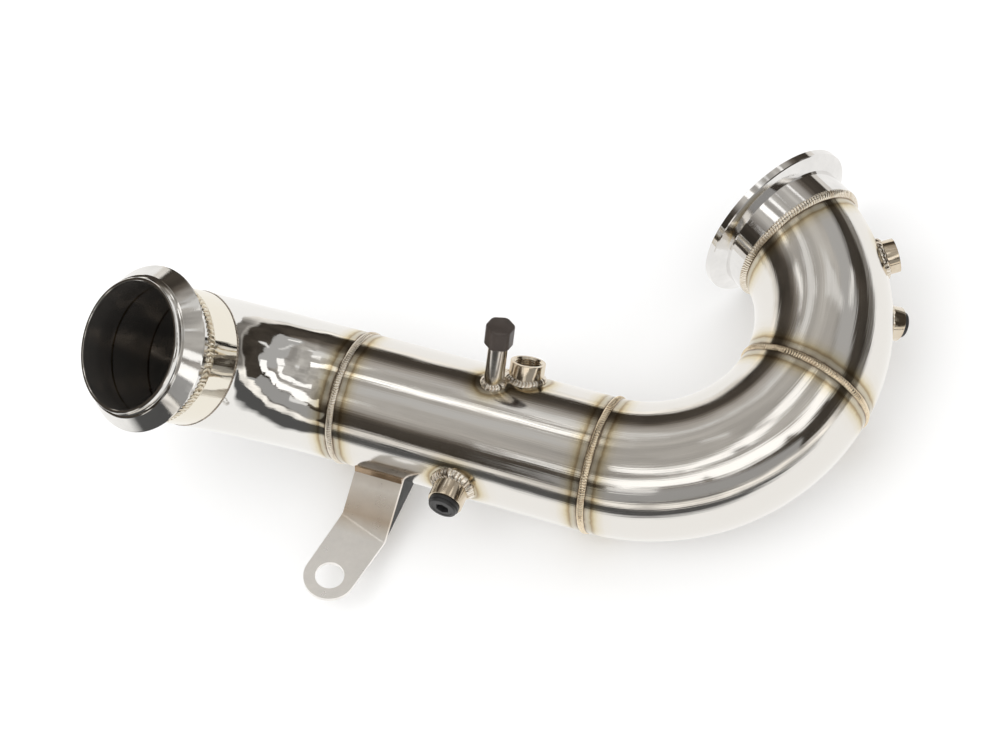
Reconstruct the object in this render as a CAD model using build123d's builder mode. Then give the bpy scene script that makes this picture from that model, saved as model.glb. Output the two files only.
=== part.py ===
from build123d import *
from math import acos, atan2, cos, degrees, hypot, radians, sin, tan
import os

# Turbo downpipe in 3.5 inch stainless tube, lying on its back on the bench, +Z up, millimetres

# Tube and bends
tube_diameter = 88.9
tube_wall = 1.5
bend_radius = 109.0
main_length = 174.2  # between the weld centres at its two ends
front_turn = 63.0
front_roll = 117.3  # side that the front elbow turns to, from +Y up towards +Z
stub_kink = 7.5
stub_length = 28.5
lower_turn = 78.3
upper_turn = 58.5
inlet_kink = 10.5

# Butt welds
root_gap = 1.6
bead_width = 4.8
bead_height = 1.4
bead_root = 0.3  # how much further each side of a bead reaches, halfway through the wall
flange_bead_width = 7.0
flange_bead_root = 0.8
seam_width = 3.0
seam_height = 0.6
collar_bead = 2.0  # crown of the inlet weld above the collar

# Inlet flange, a V-band collar with a land at its rim
collar_wall = 5.05
collar_length = 18.5
inlet_rim_height = 10.3  # above the collar
inlet_bevel = 4.1
inlet_land = 5.2
inlet_edge = 0.5
register_wall = 10.3  # between the register and the rim
register_depth = 1.6

# Outlet flange, a conical V-band nose
neck_wall = 3.25
neck_length = 8.6
outlet_rim_height = 7.3  # above the neck
outlet_back_bevel = 2.4
outlet_cone = 10.0
outlet_edge = 0.6
nose_groove = 2.2
nose_step = 3.25  # narrowing from the tube's bore to the nose's socket ring
nose_wall = 2.2
nose_length = 4.4

# Sensor bungs
bung_diameter = 23.0
bung_bore = 16.4
bung_hole = 18.0  # through the tube's wall, and the relief where a bung's thread ends
bung_relief = 1.5  # height of that relief above the tube
bung_mouth_chamfer = 0.7
fillet_leg = 2.4
top_bung_station = 60.5  # back from the lower elbow's weld
top_bung_angle = 46.5  # around the tube, from +Y up towards +Z
top_bung_height = 11.0
low_bung_station = 86.8
low_bung_angle = 173.0
low_bung_height = 14.0
side_bung_turn = 122.6  # around the double elbow, from the main tube
side_bung_angle = 180.0
side_bung_height = 9.5
rear_bung_turn = 108.8
rear_bung_angle = 206.0
rear_bung_height = 9.5

# Threaded plugs
plug_head_diameter = 18.6
plug_head_height = 4.0
plug_stem_length = 7.0
plug_key = 5.0
plug_key_depth = 3.5
plug_step = 0.7
plug_chamfer = 0.8
plug_clearance = 0.1

# Pressure port and its cap
port_diameter = 12.7
port_bore = 8.0
port_setback = 16.0  # from the top bung, along the tube
port_arc = 15.9  # and around it
port_lean = 5.5
port_height = 44.0
cap_across_corners = 18.4
cap_skirt = 13.4  # how far the cap comes down over the port
cap_crown = 3.0
cap_corner = 1.6
cap_edge = 1.5
cap_lip = 0.6

# Hanger bracket
strap_width = 34.0
strap_thickness = 3.0
strap_setback = 30.1  # from the front weld
strap_angle = 200.5
fold_distance = 37.7  # tube surface to the middle of the fold line
fold_skew = 17.3
fold_angle = 30.0
fold_radius = 7.0
tab_skew = 7.3
tab_reach = 41.4
tab_hole_diameter = 19.0
gusset_thickness = 3.0
gusset_height = 38.5
gusset_back = 27.0
bracket_leg = 3.0

# Where the lower elbow's weld stands on the bench, so that the whole part is centred
weld_x = 89.4
weld_y = -58.7

os.makedirs("parts", exist_ok=True)

tube_r = tube_diameter / 2
bore_r = tube_r - tube_wall
mid_r = tube_r - tube_wall / 2
collar_r = bore_r + collar_wall
rim_r = collar_r + inlet_rim_height
register_r = rim_r - register_wall
neck_r = bore_r + neck_wall
outlet_rim_r = neck_r + outlet_rim_height
nose_r = tube_r - nose_step + nose_wall
rest_r = tube_r + bead_height
port_station = top_bung_station + port_setback
port_angle = top_bung_angle + degrees(port_arc / tube_r)
both_turns = lower_turn + upper_turn

# The main tube lies on its beads and the double elbow leans up until the inlet rim touches the bench
inlet_heading = radians(both_turns + inlet_kink)
rim_start = collar_length + inlet_bevel
reach = bend_radius * (1 - cos(radians(both_turns))) + rim_start * sin(inlet_heading)
lean = acos(rest_r / hypot(rim_r, reach)) - atan2(reach, rim_r)

weld_point = Vector(weld_x, weld_y, rest_r)
main_axis = Axis(weld_point, (1, 0, 0))
double_elbow = Plane(weld_point, x_dir=(1, 0, 0), z_dir=(0, -sin(lean), cos(lean)))
roll = radians(front_roll)
front_bend = Plane(
    weld_point - Vector(main_length, 0, 0), x_dir=(-1, 0, 0), z_dir=(0, sin(roll), -cos(roll))
)


def section(bend, turn, extra=0):
    """Plane square to the tube, after so much turn in a bend, and swung by extra degrees more."""
    here, facing = radians(turn), radians(turn + extra)
    centre = bend.from_local_coords(Vector(bend_radius * sin(here), bend_radius * (1 - cos(here)), 0))
    return Plane(centre, x_dir=bend.z_dir, z_dir=bend.x_dir * cos(facing) + bend.y_dir * sin(facing))


def lengthwise(square):
    """Plane through a tube's centre line: its x runs along the tube and its y across it."""
    return Plane(square.origin, x_dir=square.z_dir, z_dir=square.x_dir)


def bend_axis(bend):
    return Axis(bend.from_local_coords(Vector(0, bend_radius, 0)), bend.z_dir)


def main_radial(station, angle):
    """Plane through the main tube's centre line that faces out of the tube at that angle."""
    a = radians(angle)
    return Plane(weld_point - Vector(station, 0, 0), x_dir=(1, 0, 0), z_dir=(0, cos(a), sin(a)))


def elbow_radial(turn, angle):
    """The same on the double elbow, where 180 degrees is the outside of the bend."""
    square = section(double_elbow, turn)
    inward = double_elbow.y_dir * cos(radians(turn)) - double_elbow.x_dir * sin(radians(turn))
    a = radians(angle)
    return Plane(square.origin, x_dir=square.z_dir, z_dir=inward * cos(a) + double_elbow.z_dir * sin(a))


main_start = section(front_bend, 0)
main_end = section(double_elbow, 0)
elbow_joint = section(double_elbow, lower_turn)
inlet_mitre = section(double_elbow, both_turns, inlet_kink / 2)
inlet_square = section(double_elbow, both_turns, inlet_kink)
seam_mitre = section(front_bend, front_turn, stub_kink / 2)
stub_square = section(front_bend, front_turn, stub_kink)
outlet_joint = stub_square.offset(stub_length + root_gap / 2)

# Places of the bungs and the port
top_bung = main_radial(top_bung_station, top_bung_angle)
low_bung = main_radial(low_bung_station, low_bung_angle)
side_bung = elbow_radial(side_bung_turn, side_bung_angle)
rear_bung = elbow_radial(rear_bung_turn, rear_bung_angle)
port_foot = main_radial(port_station, port_angle)
port_way = port_foot.z_dir * cos(radians(port_lean)) + port_foot.x_dir * sin(radians(port_lean))
port = Plane(
    port_foot.origin + port_foot.z_dir * tube_r - port_way * tube_r,
    x_dir=port_foot.z_dir.cross(port_foot.x_dir), z_dir=port_way
)

# Each tube starts as a solid bar, which also copes what is welded on, and is then bored
with BuildPart() as main_bar:
    with BuildSketch(main_end.offset(-root_gap / 2)):
        Circle(tube_r)
    extrude(amount=-(main_length - root_gap))

with BuildPart() as main_tube:
    add(main_bar.part)
    with BuildSketch(main_end):
        Circle(bore_r)
    extrude(amount=-main_length, mode=Mode.SUBTRACT)
    for place in (top_bung, low_bung):
        with BuildSketch(place):
            Circle(bung_hole / 2)
        extrude(amount=tube_diameter, mode=Mode.SUBTRACT)
    with BuildSketch(port):
        Circle(port_bore / 2)
    extrude(amount=tube_diameter, mode=Mode.SUBTRACT)

with BuildPart() as stub_bar:
    with BuildSketch(stub_square.offset(stub_length)):
        Circle(tube_r)
    extrude(amount=-2 * stub_length)
    split(bisect_by=seam_mitre.offset(root_gap / 2), keep=Keep.TOP)

with BuildPart() as outlet_stub:
    add(stub_bar.part)
    with BuildSketch(stub_square.offset(stub_length)):
        Circle(bore_r)
    extrude(amount=-2 * stub_length, mode=Mode.SUBTRACT)

# Elbows: the bend, the turns where they start and end, and the joints that trim them
elbow_cuts = {
    "front_elbow": (front_bend, 0, front_turn + stub_kink / 2, main_start, seam_mitre),
    "lower_elbow": (double_elbow, 0, lower_turn, main_end, elbow_joint),
    "upper_elbow": (double_elbow, lower_turn, both_turns + inlet_kink / 2, elbow_joint, inlet_mitre),
}
elbow_bars = {}
elbows = {}
for name, (bend, start, end, first_joint, last_joint) in elbow_cuts.items():
    with BuildPart() as bar:
        with BuildSketch(section(bend, start)):
            Circle(tube_r)
        revolve(axis=bend_axis(bend), revolution_arc=end - start)
        split(bisect_by=first_joint.offset(root_gap / 2), keep=Keep.TOP)
        split(bisect_by=last_joint.offset(-root_gap / 2), keep=Keep.BOTTOM)
    with BuildPart() as elbow:
        with BuildSketch(section(bend, start)):
            Circle(tube_r)
            Circle(bore_r, mode=Mode.SUBTRACT)
        revolve(axis=bend_axis(bend), revolution_arc=end - start)
        split(bisect_by=first_joint.offset(root_gap / 2), keep=Keep.TOP)
        split(bisect_by=last_joint.offset(-root_gap / 2), keep=Keep.BOTTOM)
        if name == "upper_elbow":
            for place in (side_bung, rear_bung):
                with BuildSketch(place):
                    Circle(bung_hole / 2)
            extrude(amount=tube_diameter, mode=Mode.SUBTRACT)
    elbow_bars[name] = bar
    elbows[name] = elbow
    elbow.part.label = name
    export_step(elbow.part, f"parts/{name}.step")
elbow_bar = elbow_bars["upper_elbow"]

with BuildPart() as inlet_flange:
    with BuildSketch(lengthwise(inlet_square)):
        with BuildLine():
            Polyline(
                (-collar_length / 2, bore_r),
                (-collar_length / 2, collar_r),
                (collar_length, collar_r),
                (rim_start, rim_r),
                (rim_start + inlet_land, rim_r),
                (rim_start + inlet_land, register_r),
                (rim_start + inlet_land - register_depth, register_r),
                (rim_start + inlet_land - register_depth, bore_r),
                close=True,
            )
        make_face()
    revolve(axis=Axis(inlet_square.origin, inlet_square.z_dir))
    split(bisect_by=inlet_mitre.offset(root_gap / 2), keep=Keep.TOP)
    rim_edges = inlet_flange.edges().filter_by(GeomType.CIRCLE)
    chamfer(rim_edges.sort_by(SortBy.RADIUS)[-2:], inlet_edge)

neck_end = root_gap / 2 + neck_length
cone_start = neck_end + outlet_back_bevel
cone_end = cone_start + outlet_cone
nose_end = cone_end + nose_length
with BuildPart() as outlet_flange:
    with BuildSketch(lengthwise(outlet_joint)):
        with BuildLine():
            Polyline(
                (root_gap / 2, bore_r),
                (root_gap / 2, neck_r),
                (neck_end, neck_r),
                (cone_start - outlet_edge, outlet_rim_r - outlet_edge),
                (cone_start, outlet_rim_r),
                (cone_start + outlet_edge, outlet_rim_r - outlet_edge),
                (cone_end, nose_r + nose_groove),
                (cone_end, nose_r + outlet_edge),
                (cone_end + nose_length / 3, nose_r),
                (nose_end - outlet_edge, nose_r),
                (nose_end, nose_r - outlet_edge),
                (nose_end, nose_r - nose_wall),
                (cone_start, nose_r - nose_wall),
                (neck_end - neck_length / 2, bore_r),
                close=True,
            )
        make_face()
    revolve(axis=Axis(outlet_joint.origin, outlet_joint.z_dir))

# Butt welds: the place, what they join, and where the crown's arc starts in the wall, tops out and ends
half = bead_width / 2 + bead_root
even = ((-half, mid_r), (0, tube_r + bead_height), (half, mid_r))
half_flange = flange_bead_width / 2 + flange_bead_root
half_seam = seam_width / 2 + bead_root
butt_welds = {
    "front_weld": (main_start, (main_bar, elbow_bars["front_elbow"]), even),
    "main_weld": (main_end, (main_bar, elbow_bars["lower_elbow"]), even),
    "elbow_weld": (elbow_joint, (elbow_bars["lower_elbow"], elbow_bar), even),
    "seam_weld": (
        seam_mitre, (elbow_bars["front_elbow"], stub_bar),
        ((-half_seam, mid_r), (0, tube_r + seam_height), (half_seam, mid_r)),
    ),
    "inlet_weld": (
        inlet_mitre, (elbow_bar, inlet_flange),
        ((-half_flange, mid_r), (0, collar_r + collar_bead), (half_flange, mid_r)),
    ),
    "outlet_weld": (
        outlet_joint, (stub_bar, outlet_flange),
        ((-half_flange, mid_r), (0, neck_r + bead_height), (half_flange, mid_r)),
    ),
}
for name, (place, joined, (start, top, end)) in butt_welds.items():
    with BuildPart() as butt_weld:
        with BuildSketch(lengthwise(place)):
            with BuildLine():
                ThreePointArc(start, top, end)
                Polyline(
                    end,
                    (root_gap / 2, mid_r),
                    (root_gap / 2, bore_r),
                    (-root_gap / 2, bore_r),
                    (-root_gap / 2, mid_r),
                    start,
                )
            make_face()
        revolve(axis=Axis(place.origin, place.z_dir))
        for piece in joined:
            add(piece.part, mode=Mode.SUBTRACT)
    butt_weld.part.label = name
    export_step(butt_weld.part, f"parts/{name}.step")

# Bungs with their fillet welds: the place, the height above the tube and the bar that copes the foot
bungs = {
    "top_bung": (top_bung, top_bung_height, main_bar),
    "low_bung": (low_bung, low_bung_height, main_bar),
    "side_bung": (side_bung, side_bung_height, elbow_bar),
    "rear_bung": (rear_bung, rear_bung_height, elbow_bar),
}
for name, (place, height, bar) in bungs.items():
    with BuildPart() as bung:
        with BuildSketch(place):
            Circle(bung_diameter / 2)
            Circle(bung_bore / 2, mode=Mode.SUBTRACT)
        extrude(amount=tube_r + height)
        mouth = bung.faces().sort_by(Axis(place.origin, place.z_dir))[-1]
        chamfer(mouth.edges(), bung_mouth_chamfer)
        with BuildSketch(place):
            Circle(bung_hole / 2)
        extrude(amount=tube_r + bung_relief, mode=Mode.SUBTRACT)
        add(bar.part, mode=Mode.SUBTRACT)
    bung.part.label = name
    export_step(bung.part, f"parts/{name}.step")

with BuildPart() as pressure_port:
    with BuildSketch(port):
        Circle(port_diameter / 2)
        Circle(port_bore / 2, mode=Mode.SUBTRACT)
    extrude(amount=tube_r + port_height)
    add(main_bar.part, mode=Mode.SUBTRACT)

# Fillet welds round the feet: a round bead on the tube's surface, sunk a little to follow its curve
feet = {
    "top_bung_weld": (top_bung, bung_diameter, main_bar),
    "low_bung_weld": (low_bung, bung_diameter, main_bar),
    "side_bung_weld": (side_bung, bung_diameter, elbow_bar),
    "rear_bung_weld": (rear_bung, bung_diameter, elbow_bar),
    "port_weld": (port, port_diameter, main_bar),
}
for name, (place, foot_diameter, bar) in feet.items():
    with BuildPart() as foot_weld:
        with BuildSketch(lengthwise(place)):
            with Locations((tube_r - fillet_leg / 4, foot_diameter / 2)):
                Circle(fillet_leg)
                Rectangle(3 * fillet_leg, 2 * fillet_leg, align=(Align.CENTER, Align.MAX), mode=Mode.SUBTRACT)
        revolve(axis=Axis(place.origin, place.z_dir))
        add(bar.part, mode=Mode.SUBTRACT)
    foot_weld.part.label = name
    export_step(foot_weld.part, f"parts/{name}.step")

for name, place, height in (
    ("low_plug", low_bung, low_bung_height),
    ("rear_plug", rear_bung, rear_bung_height),
):
    mouth = place.offset(tube_r + height)
    with BuildPart() as plug:
        with BuildSketch(mouth):
            Circle(plug_head_diameter / 2)
        extrude(amount=plug_head_height / 2)
        with BuildSketch(mouth.offset(plug_head_height / 2)):
            Circle(plug_head_diameter / 2 - plug_step)
        extrude(amount=plug_head_height / 2)
        top = plug.faces().sort_by(Axis(mouth.origin, mouth.z_dir))[-1]
        chamfer(top.edges(), plug_chamfer)
        with BuildSketch(mouth):
            Circle(bung_bore / 2 - plug_clearance)
        extrude(amount=-plug_stem_length)
        with BuildSketch(mouth.offset(plug_head_height)):
            RegularPolygon(plug_key / 2, 6, major_radius=False)
        extrude(amount=-plug_key_depth, mode=Mode.SUBTRACT)
    plug.part.label = name
    export_step(plug.part, f"parts/{name}.step")

port_top = port.offset(tube_r + port_height)
with BuildPart() as port_cap:
    with BuildSketch(port_top.offset(-cap_skirt)):
        RegularPolygon(cap_across_corners / 2, 6)
    extrude(amount=cap_skirt + cap_crown)
    fillet(port_cap.edges().filter_by(Axis(port_top.origin, port_top.z_dir)), cap_corner)
    ends = port_cap.faces().sort_by(Axis(port_top.origin, port_top.z_dir))
    fillet(ends[-1].edges(), cap_edge)
    chamfer(ends[0].edges(), cap_lip)
    with BuildSketch(port_top):
        Circle(port_diameter / 2)
    extrude(amount=-tube_diameter / 2, mode=Mode.SUBTRACT)

# Hanger strap: a folded sheet, trimmed square to its foot and square to its tab
strap = main_radial(main_length - strap_setback, strap_angle)
foot = Plane(strap.origin, x_dir=(1, 0, 0), z_dir=Vector(1, 0, 0).cross(strap.z_dir))
skew, tab_turn = radians(fold_skew), radians(tab_skew)
fold_middle = foot.from_local_coords(Vector(0, tube_r + fold_distance, 0))
fold_line = foot.x_dir * cos(skew) + foot.y_dir * sin(skew)
fold_section = Plane(fold_middle, x_dir=foot.y_dir * cos(skew) - foot.x_dir * sin(skew), z_dir=fold_line)
tab = Plane(
    fold_middle, x_dir=fold_line,
    z_dir=foot.z_dir.rotate(Axis((0, 0, 0), fold_line), -fold_angle)
)
reach_tab = 2 * tab_reach
tab_eye = (tab_reach * sin(tab_turn), tab_reach * cos(tab_turn))
half_strap = strap_width / 2
rise = half_strap * tan(skew)
fold_at = tube_r + fold_distance
with BuildPart() as bracket:
    with BuildSketch(fold_section):
        with BuildLine():
            FilletPolyline(
                (-fold_at, 0), (0, 0),
                (reach_tab * cos(radians(fold_angle)), -reach_tab * sin(radians(fold_angle))),
                radius=fold_radius,
            )
        trace(line_width=strap_thickness)
    extrude(amount=2 * strap_width, both=True)
    with BuildSketch(foot):
        with BuildLine():
            Polyline(
                (-half_strap, tube_r / 2),
                (half_strap, tube_r / 2),
                (half_strap, fold_at + rise),
                (1.2 * half_strap, 3 * fold_at),
                (-3 * half_strap, 3 * fold_at),
                (-half_strap, fold_at - rise),
                close=True,
            )
        make_face()
    extrude(amount=3 * strap_width, both=True, mode=Mode.INTERSECT)
    half_fold = half_strap / cos(skew)
    with BuildSketch(tab):
        with BuildLine():
            Polyline(
                (-half_fold, 0),
                (-half_fold - 2.4 * fold_at * tan(skew), -2 * fold_at),
                (1.2 * half_fold, -2 * fold_at),
                (half_fold, 0),
                (tab_eye[0] + half_strap * cos(tab_turn), tab_eye[1] - half_strap * sin(tab_turn)),
                (tab_eye[0] - half_strap * cos(tab_turn), tab_eye[1] + half_strap * sin(tab_turn)),
                close=True,
            )
        make_face()
        with Locations(tab_eye):
            Circle(half_strap)
    extrude(amount=3 * strap_width, both=True, mode=Mode.INTERSECT)
    with BuildSketch(tab):
        with Locations(tab_eye):
            Circle(tab_hole_diameter / 2)
    extrude(amount=strap_width, both=True, mode=Mode.SUBTRACT)
    add(main_bar.part, mode=Mode.SUBTRACT)

# Gusset behind the strap, at its edge towards the elbows
back = strap_thickness / 2
edge_on = Plane(foot.origin, x_dir=foot.z_dir, z_dir=-foot.x_dir)
with BuildPart() as bracket_gusset:
    with BuildSketch(edge_on.offset(gusset_thickness - half_strap)):
        with BuildLine():
            Polyline(
                (back, 0),
                (back, tube_r + gusset_height),
                (gusset_back, (tube_r ** 2 - gusset_back ** 2) ** 0.5),
                (gusset_back, 0),
                close=True,
            )
        make_face()
    extrude(amount=-gusset_thickness)
    add(main_bar.part, mode=Mode.SUBTRACT)

with BuildPart() as bracket_weld:
    for side, length in ((-1, strap_width), (1, strap_width - gusset_thickness)):
        with BuildSketch(edge_on.offset(half_strap)):
            with BuildLine():
                Polyline(
                    (side * back, tube_r / 2),
                    (side * back, tube_r + bracket_leg),
                    (side * (back + bracket_leg), tube_r),
                    (side * (back + bracket_leg), tube_r / 2),
                    close=True,
                )
            make_face()
        extrude(amount=-length)
    add(main_bar.part, mode=Mode.SUBTRACT)

pieces = {
    "main_tube": main_tube,
    "outlet_stub": outlet_stub,
    "inlet_flange": inlet_flange,
    "outlet_flange": outlet_flange,
    "pressure_port": pressure_port,
    "port_cap": port_cap,
    "bracket": bracket,
    "bracket_gusset": bracket_gusset,
    "bracket_weld": bracket_weld,
}
for name, piece in pieces.items():
    piece.part.label = name
    export_step(piece.part, f"parts/{name}.step")
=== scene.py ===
import math
import bpy
import bmesh
import numpy as np
from mathutils import Matrix, Vector, noise


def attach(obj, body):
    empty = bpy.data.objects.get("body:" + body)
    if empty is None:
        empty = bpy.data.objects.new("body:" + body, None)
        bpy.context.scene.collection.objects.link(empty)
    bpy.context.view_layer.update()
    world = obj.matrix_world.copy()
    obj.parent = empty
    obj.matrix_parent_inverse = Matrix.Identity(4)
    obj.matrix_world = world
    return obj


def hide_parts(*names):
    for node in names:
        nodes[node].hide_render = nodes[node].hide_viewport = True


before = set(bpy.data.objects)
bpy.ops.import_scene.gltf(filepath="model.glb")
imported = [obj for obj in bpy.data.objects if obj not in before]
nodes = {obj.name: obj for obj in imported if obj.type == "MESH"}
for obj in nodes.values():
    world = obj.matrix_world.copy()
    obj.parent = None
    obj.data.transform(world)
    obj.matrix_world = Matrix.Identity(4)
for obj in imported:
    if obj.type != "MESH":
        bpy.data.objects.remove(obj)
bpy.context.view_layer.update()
MM = 0.001
TO_MM = 1000.0

# Sizes in millimetres and turns in radians, as in the solid model
TUBE_R, BEND_R = 44.45, 109.0
BORE_R = TUBE_R - 1.5
HALF_GAP = 0.8
MAIN_LENGTH, STUB_LENGTH = 174.2, 28.5
FRONT_TURN, STUB_KINK, LOWER_TURN, UPPER_TURN, INLET_KINK = (
    math.radians(a) for a in (63.0, 7.5, 78.3, 58.5, 10.5))
BOTH_TURNS = LOWER_TURN + UPPER_TURN
FRONT_ROLL = math.radians(117.3)
COLLAR_R, RIM_R, RIM_START = 48.0, 58.3, 22.6
CONE_NECK_R = 46.2
BUNG_R, BUNG_HOLE_R, THREAD_R, THREAD_DEPTH, THREAD_PITCH = 11.5, 9.0, 8.2, 0.8, 1.5
PORT_R, PORT_HOLE_R, PORT_LEAN = 6.35, 4.0, math.radians(5.5)

# The pipe lies on its main beads and on the inlet's rim
REST_HEIGHT = TUBE_R + 1.4
rim_reach = BEND_R * (1 - math.cos(BOTH_TURNS)) + RIM_START * math.sin(BOTH_TURNS + INLET_KINK)
LEAN = math.acos(REST_HEIGHT / math.hypot(RIM_R, rim_reach)) - math.atan2(rim_reach, RIM_R)
WELD = np.array([89.4, -58.7, REST_HEIGHT])


def vec(*v):
    return np.array(v, float)


def unit(v):
    return v / np.linalg.norm(v)


class Run:
    """A stretch of tube: a point from the way along its centre line, the angle round it and the radius."""

    def __init__(self, origin, x, y, bend=None):
        self.o, self.x, self.y, self.bend = origin, unit(x), unit(y), bend
        self.z = np.cross(self.x, self.y)

    def at(self, s):
        s = np.asarray(s, float)[..., None]
        if self.bend is None:
            return self.o + self.x * s, self.x + 0 * s, self.y + 0 * s
        t = s / self.bend
        centre = self.o + self.x * self.bend * np.sin(t) + self.y * self.bend * (1 - np.cos(t))
        return centre, self.x * np.cos(t) + self.y * np.sin(t), self.y * np.cos(t) - self.x * np.sin(t)

    def point(self, s, phi, r):
        centre, _, inward = self.at(s)
        phi, r = np.asarray(phi, float)[..., None], np.asarray(r, float)[..., None]
        return centre + r * (inward * np.cos(phi) + self.z * np.sin(phi))

    def after(self, s, turn=0.0):
        """The straight run that carries on from here, swung by a further turn."""
        centre, along, inward = self.at(s)
        return Run(centre, along * math.cos(turn) + inward * math.sin(turn),
                   inward * math.cos(turn) - along * math.sin(turn))

    def mitre(self, s, tilt, off, phi, r):
        """How far along each line of the wall a tilted joint cuts it."""
        if self.bend is None:
            return s + (off + r * np.cos(phi) * math.tan(-tilt) * math.cos(tilt)) / math.cos(tilt)
        t = s / self.bend
        a = t + tilt
        return self.bend * (a + np.arcsin((self.bend * math.sin(t - a) + off) / (self.bend - r * np.cos(phi))))


def radial(centre, along, outward):
    """A frame with its x outward along a boss, its y along the tube."""
    x = unit(outward)
    y = unit(along - x * np.dot(along, x))
    return Run(centre, x, y)


main = Run(WELD, vec(-1, 0, 0), vec(0, math.cos(LEAN), math.sin(LEAN)))
double = Run(WELD, vec(1, 0, 0), vec(0, math.cos(LEAN), math.sin(LEAN)), BEND_R)
front = Run(WELD - vec(MAIN_LENGTH, 0, 0), vec(-1, 0, 0),
            vec(0, math.cos(FRONT_ROLL), math.sin(FRONT_ROLL)), BEND_R)
seam = front.after(BEND_R * FRONT_TURN, STUB_KINK / 2)
stub = front.after(BEND_R * FRONT_TURN, STUB_KINK)
outlet = Run(stub.at(STUB_LENGTH + HALF_GAP)[0], stub.x, stub.y)
inlet_mitre = double.after(BEND_R * BOTH_TURNS, INLET_KINK / 2)
inlet = double.after(BEND_R * BOTH_TURNS, INLET_KINK)
elbow_joint = double.after(BEND_R * LOWER_TURN)


def main_boss(back, degrees):
    """The frame of a boss on the main tube, that far back from the main weld and so many degrees round."""
    a = math.radians(degrees)
    return radial(WELD - vec(back, 0, 0), vec(1, 0, 0), vec(0, math.cos(a), math.sin(a)))


def elbow_boss(turn, degrees):
    """The frame of a boss on the double elbow, so many degrees into the bend and round the tube."""
    centre, along, inward = double.at(BEND_R * math.radians(turn))
    a = math.radians(degrees)
    return radial(centre, along, inward * math.cos(a) + double.z * math.sin(a))


top_bung, low_bung = main_boss(60.5, 46.5), main_boss(86.8, 173.0)
side_bung, rear_bung = elbow_boss(122.6, 180.0), elbow_boss(108.8, 206.0)
# The port leans from the tube's radius, about its foot on the wall
port_foot = main_boss(76.5, 67.0)
port_way = port_foot.x * math.cos(PORT_LEAN) + port_foot.y * math.sin(PORT_LEAN)
port = radial(port_foot.o + port_foot.x * TUBE_R - port_way * TUBE_R, vec(1, 0, 0), port_way)


# Meshes, with the number of points round each kind of piece
TUBE_POINTS, RING_POINTS, BUNG_POINTS, HEX_POINTS = 168, 192, 96, 144


def angles(n):
    return np.linspace(0, 2 * math.pi, n, endpoint=False)


def noise_at(points):
    return np.array([noise.noise(Vector(p)) for p in points])


def wobble(p, size, seed):
    """Smooth noise from -1 to 1 at each point, in bumps about that many millimetres across."""
    return noise_at(p / size + seed)


def ring_noise(psi, scale, seed, height):
    """Smooth noise round a ring. A larger scale gives it more bumps."""
    return noise_at([(math.cos(a) * scale + seed, math.sin(a) * scale, height) for a in psi])


def ripples(phase, rise):
    """A saw-toothed wave from -0.5 to 0.5 that rises over that share of each pitch."""
    phase = phase % 1.0
    return np.where(phase < rise, phase / rise, (1 - phase) / (1 - rise)) - 0.5


def grid_piece(name, rows, sharp):
    """A smooth piece from rows of points, each a closed ring, the last one joined to the first.
    Edges steeper than the sharp angle, in degrees, stay sharp."""
    points = np.array(rows)
    nu, nv = points.shape[:2]
    i, j = np.meshgrid(np.arange(nu), np.arange(nv), indexing="ij")
    a, b = i * nv + j, i * nv + (j + 1) % nv
    c, d = ((i + 1) % nu) * nv + (j + 1) % nv, ((i + 1) % nu) * nv + j
    faces = np.stack([a, b, c, d], -1).reshape(-1, 4)
    me = bpy.data.meshes.new(name)
    me.vertices.add(nu * nv)
    me.vertices.foreach_set("co", (points.reshape(-1) * MM).astype(np.float32))
    me.loops.add(len(faces) * 4)
    me.loops.foreach_set("vertex_index", faces.reshape(-1).astype(np.int32))
    me.polygons.add(len(faces))
    me.polygons.foreach_set("loop_start", np.arange(0, len(faces) * 4, 4, dtype=np.int32))
    me.polygons.foreach_set("loop_total", np.full(len(faces), 4, dtype=np.int32))
    me.update(calc_edges=True)
    me.validate()
    bm = bmesh.new()
    bm.from_mesh(me)
    bmesh.ops.recalc_face_normals(bm, faces=bm.faces)
    if bm.calc_volume(signed=True) < 0:
        bmesh.ops.reverse_faces(bm, faces=bm.faces)
    bm.to_mesh(me)
    bm.free()
    me.polygons.foreach_set("use_smooth", np.ones(len(me.polygons), dtype=bool))
    me.set_sharp_from_angle(angle=math.radians(sharp))
    return link(name, me)


def link(name, data):
    ob = bpy.data.objects.new(name, data)
    bpy.context.scene.collection.objects.link(ob)
    return ob


def carry(ob, **layers):
    """Puts pairs of numbers for each point into UV layers, for the materials to read."""
    corners = np.empty(len(ob.data.loops), np.int32)
    ob.data.loops.foreach_get("vertex_index", corners)
    for name, pair in layers.items():
        layer = ob.data.uv_layers.new(name=name)
        layer.uv.foreach_set("vector", np.stack(pair, -1)[corners].astype(np.float32).reshape(-1))


def own(ob, node, material):
    """Gives a piece its material and puts it in the place of the solid of that name."""
    ob.data.materials.clear()
    ob.data.materials.append(material)
    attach(ob, "root")
    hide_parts(node)
    return ob


def coords(ob):
    co = np.empty(len(ob.data.vertices) * 3, np.float32)
    ob.data.vertices.foreach_get("co", co)
    return co.reshape(-1, 3).astype(float) / MM


# Shader nodes
def shader_tree(owner):
    owner.use_nodes = True
    owner.node_tree.nodes.clear()
    return owner.node_tree


def new_material(name):
    material = bpy.data.materials.new(name)
    tree = shader_tree(material)
    bsdf = node(tree, "ShaderNodeBsdfPrincipled")
    node(tree, "ShaderNodeOutputMaterial", {0: bsdf.outputs[0]})
    return material, tree, bsdf


def node(tree, kind, inputs=None, **values):
    """A node with its properties set, and its inputs set or linked."""
    n = tree.nodes.new(kind)
    for k, v in values.items():
        setattr(n, k, v)
    for k, v in (inputs or {}).items():
        if isinstance(v, bpy.types.NodeSocket):
            tree.links.new(v, n.inputs[k])
        else:
            n.inputs[k].default_value = v
    return n


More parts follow.
